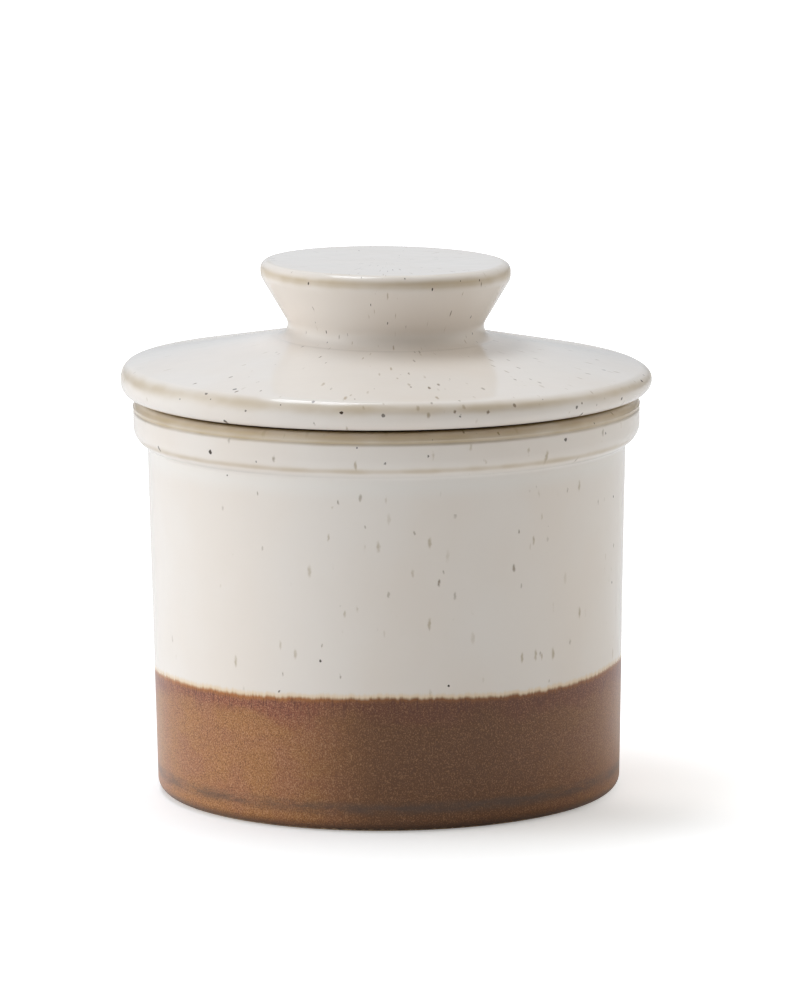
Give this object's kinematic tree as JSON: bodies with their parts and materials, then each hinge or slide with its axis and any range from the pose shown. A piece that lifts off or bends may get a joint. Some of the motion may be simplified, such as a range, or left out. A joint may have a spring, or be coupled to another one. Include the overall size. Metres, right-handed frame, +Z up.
{
  "type": "butter crock",
  "caption": "Round stoneware butter crock: a wall with a rim band, and a lift-off lid with a flared knob and a butter cup that hangs upside down inside.",
  "frame": {"origin": "centre of the crock's foot ring, on the table", "axes": "+Z up along the crock's axis, the way the lid lifts off; the object is the same all round, so +X and +Y are any two level directions"},
  "size_m": [0.11, 0.11, 0.1107],
  "materials": {
    "crock_glaze": "gloss",
    "lid_glaze": "gloss"
  },
  "bodies": {
    "crock": {"crock": "crock_glaze"},
    "lid": {"lid_disc": "lid_glaze", "knob": "lid_glaze", "butter_bell": "lid_glaze"}
  },
  "joints": [
    {"name": "lid_lift", "type": "slide", "parent": "crock", "child": "lid", "axis": [0, 0, 1], "range_m": [0, 0.085]}
  ]
}
